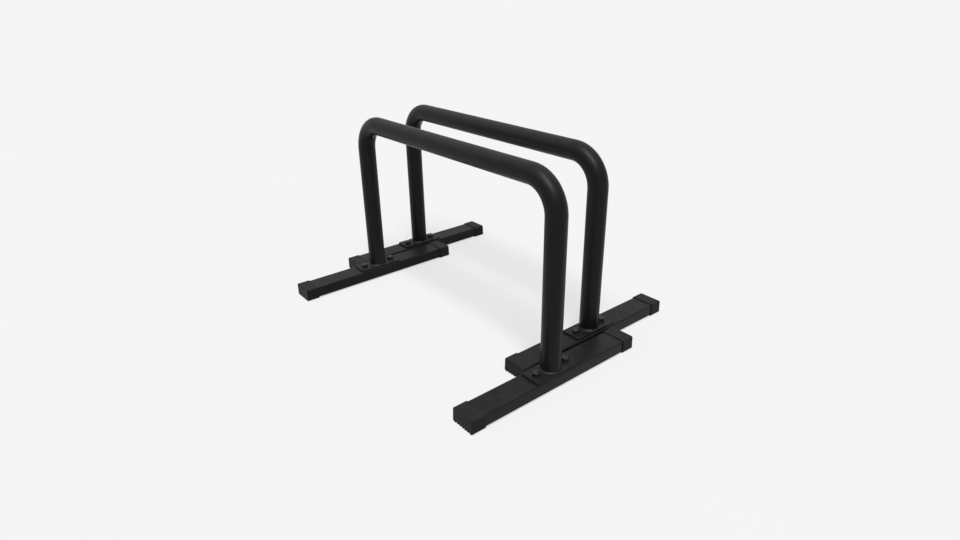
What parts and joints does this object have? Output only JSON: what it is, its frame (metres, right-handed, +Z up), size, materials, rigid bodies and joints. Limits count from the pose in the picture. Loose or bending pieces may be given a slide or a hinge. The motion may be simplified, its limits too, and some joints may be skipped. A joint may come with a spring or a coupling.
{
  "type": "parallette bar pair",
  "caption": "Pair of low parallel bars: bent steel tube rails on welded base plates, bolted to flat rectangular feet with ribbed rubber end caps, staggered side by side.",
  "frame": {"origin": "middle of the pair's footprint, on the floor under the rubber caps", "axes": "+X along the rails towards the right legs, +Y along the feet from the front bar to the rear bar, +Z up"},
  "size_m": [0.702, 0.557, 0.391],
  "materials": {
    "powder_coat": "matt black powder coat",
    "cap_rubber": "matt moulded rubber",
    "fastener_steel": "black zinc plate"
  },
  "bodies": {
    "front_bar": {"front_handle": "powder_coat", "front_left_base_plate": "powder_coat", "front_left_weld_bead": "powder_coat", "front_left_foot_tube": "powder_coat", "front_left_toe_cap": "cap_rubber", "front_left_heel_cap": "cap_rubber", "front_left_bolts": "fastener_steel", "front_left_washers": "fastener_steel", "front_left_nuts": "fastener_steel", "front_right_base_plate": "powder_coat", "front_right_weld_bead": "powder_coat", "front_right_foot_tube": "powder_coat", "front_right_toe_cap": "cap_rubber", "front_right_heel_cap": "cap_rubber", "front_right_bolts": "fastener_steel", "front_right_washers": "fastener_steel", "front_right_nuts": "fastener_steel"},
    "rear_bar": {"rear_handle": "powder_coat", "rear_left_base_plate": "powder_coat", "rear_left_weld_bead": "powder_coat", "rear_left_foot_tube": "powder_coat", "rear_left_toe_cap": "cap_rubber", "rear_left_heel_cap": "cap_rubber", "rear_left_bolts": "fastener_steel", "rear_left_washers": "fastener_steel", "rear_left_nuts": "fastener_steel", "rear_right_base_plate": "powder_coat", "rear_right_weld_bead": "powder_coat", "rear_right_foot_tube": "powder_coat", "rear_right_toe_cap": "cap_rubber", "rear_right_heel_cap": "cap_rubber", "rear_right_bolts": "fastener_steel", "rear_right_washers": "fastener_steel", "rear_right_nuts": "fastener_steel"}
  },
  "joints": [
    {"name": "bar_spacing", "type": "slide", "parent": "front_bar", "child": "rear_bar", "axis": [0, 1, 0], "range_m": [-0.1, 0.44]}
  ]
}
